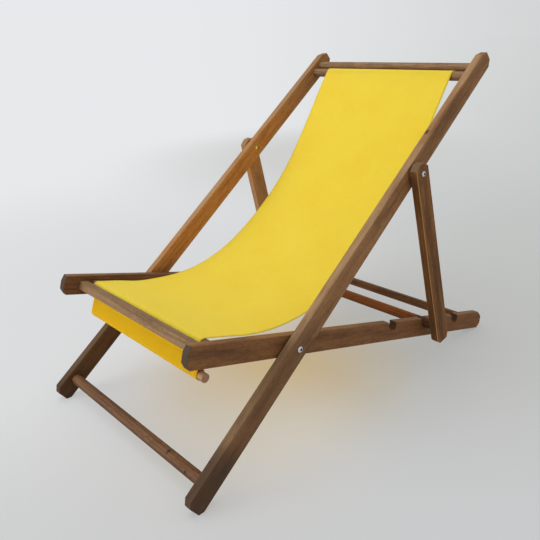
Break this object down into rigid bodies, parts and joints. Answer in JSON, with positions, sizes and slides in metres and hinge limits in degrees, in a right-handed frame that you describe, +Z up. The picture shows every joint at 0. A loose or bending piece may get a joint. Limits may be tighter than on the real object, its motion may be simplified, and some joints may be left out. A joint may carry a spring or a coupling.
{
  "type": "folding sling deck chair",
  "caption": "Wooden folding beach deck chair: crossed back and seat frames, a prop frame resting in notches, and a hanging canvas sling seat.",
  "frame": {"origin": "on the floor, under the middle of the chair's outer box", "axes": "+X across the width, to the right as seen from the front; +Y to the rear; +Z up"},
  "size_m": [0.61, 1.0106, 0.7564],
  "materials": {
    "rail_wood": "oiled brown, straight grain, eased edges",
    "bar_wood": "oiled brown, turned or planed",
    "rod_wood": "plain unstained softwood",
    "canvas": "plain yellow cotton canvas, matt",
    "zinc_bolt": "bright zinc plate",
    "zinc_washer": "dull zinc plate",
    "brass_sleeve": "yellow passivated"
  },
  "bodies": {
    "seat_frame": {"seat_rail_left": "rail_wood", "seat_rail_right": "rail_wood", "front_bar": "bar_wood", "front_dowel": "bar_wood", "rear_stretcher": "bar_wood", "main_pivot_bolts": "zinc_bolt", "main_pivot_sleeves": "brass_sleeve", "main_pivot_washers": "zinc_washer"},
    "back_frame": {"back_rail_left": "rail_wood", "back_rail_right": "rail_wood", "foot_bar": "bar_wood", "top_bar_lower": "bar_wood", "top_bar_upper": "bar_wood", "prop_pivot_bolts": "zinc_bolt", "prop_pivot_sleeves": "brass_sleeve", "prop_pivot_washers": "zinc_washer", "sling": "canvas", "sling_rod_top": "rod_wood"},
    "prop_frame": {"prop_leg_left": "rail_wood", "prop_leg_right": "rail_wood", "prop_bar": "bar_wood"},
    "front_rod": {"sling_rod_front": "rod_wood"}
  },
  "joints": [
    {"name": "frame_raise", "type": "hinge", "parent": "seat_frame", "child": "back_frame", "pos_m": [0, -0.22444, 0.22216], "axis": [1, 0, 0], "range_deg": [0, 12], "deforming": ["sling"]},
    {"name": "prop_swing", "type": "hinge", "parent": "back_frame", "child": "prop_frame", "pos_m": [0, 0.14976, 0.50984], "axis": [1, 0, 0], "range_deg": [-3.6, 0]},
    {"name": "rod_slide", "type": "slide", "parent": "seat_frame", "child": "front_rod", "axis": [1, 0, 0], "range_m": [0, 0.42]}
  ],
  "couplings": [
    {"joint": "prop_swing", "follows": "frame_raise", "ratio": -0.3}
  ]
}
